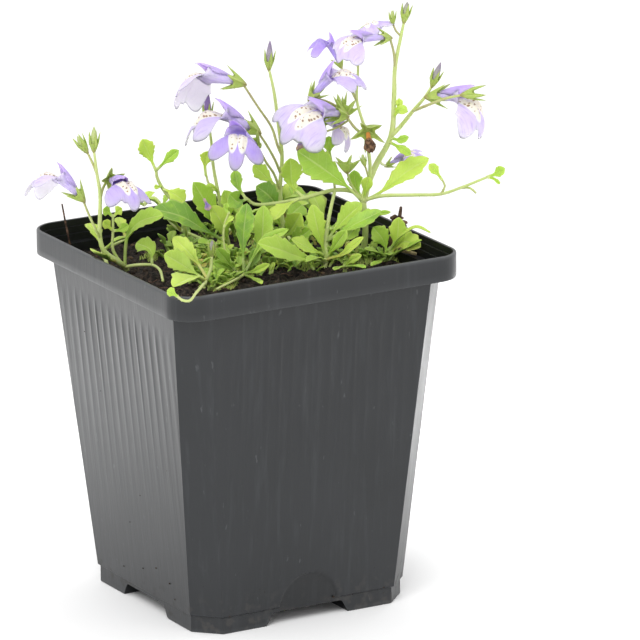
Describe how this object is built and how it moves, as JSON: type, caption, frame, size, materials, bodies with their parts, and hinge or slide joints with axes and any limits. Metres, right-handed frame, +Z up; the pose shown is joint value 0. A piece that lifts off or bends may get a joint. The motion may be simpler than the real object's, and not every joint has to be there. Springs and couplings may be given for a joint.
{
  "type": "potted plant",
  "caption": "Creeping plant with toothed leaves, thin arching runners and small two-lipped violet flowers, growing in a square ribbed nursery pot that is filled with dark soil.",
  "frame": {"origin": "on the surface the pot stands on, under the middle of the whole plant and on the pot's axis", "axes": "+Z up along the pot's axis, +X and +Y square to the pot's sides; the face seen dark in the picture looks along -Y"},
  "size_m": [0.1233, 0.1025, 0.1656],
  "materials": {
    "pot": "satin dark grey moulded plastic",
    "soil": "rough, moist, crumbly",
    "foliage": "soft, slightly waxy leaf",
    "petals": "thin soft petal",
    "dried": "dry and rough"
  },
  "bodies": {
    "root": {"pot": "pot", "spray_left": "foliage", "spray_left_back": "foliage", "spray_mid_left": "foliage", "raceme_left": "foliage", "spray_right": "foliage", "spray_front": "foliage", "spray_front_left": "foliage", "rosette_right": "foliage", "sprout_front": "foliage", "withered_x": "dried", "withered_q": "petals", "fallen_petal_low": "petals", "needle": "dried", "stick": "dried", "bark_chip": "dried", "creeper_rear_left": "foliage", "creeper_rear": "foliage", "creeper_rear_right": "foliage", "creeper_middle": "foliage", "trailer_rear": "foliage", "soil": "soil", "flower_a": "petals", "flower_c": "petals", "flower_l": "petals", "flower_o": "petals", "flower_p": "petals", "flower_q": "petals", "flower_r": "petals", "flower_s": "petals", "flower_t": "petals", "flower_u": "petals", "flower_v": "petals", "flower_y": "petals", "flower_z": "petals"}
  },
  "joints": []
}
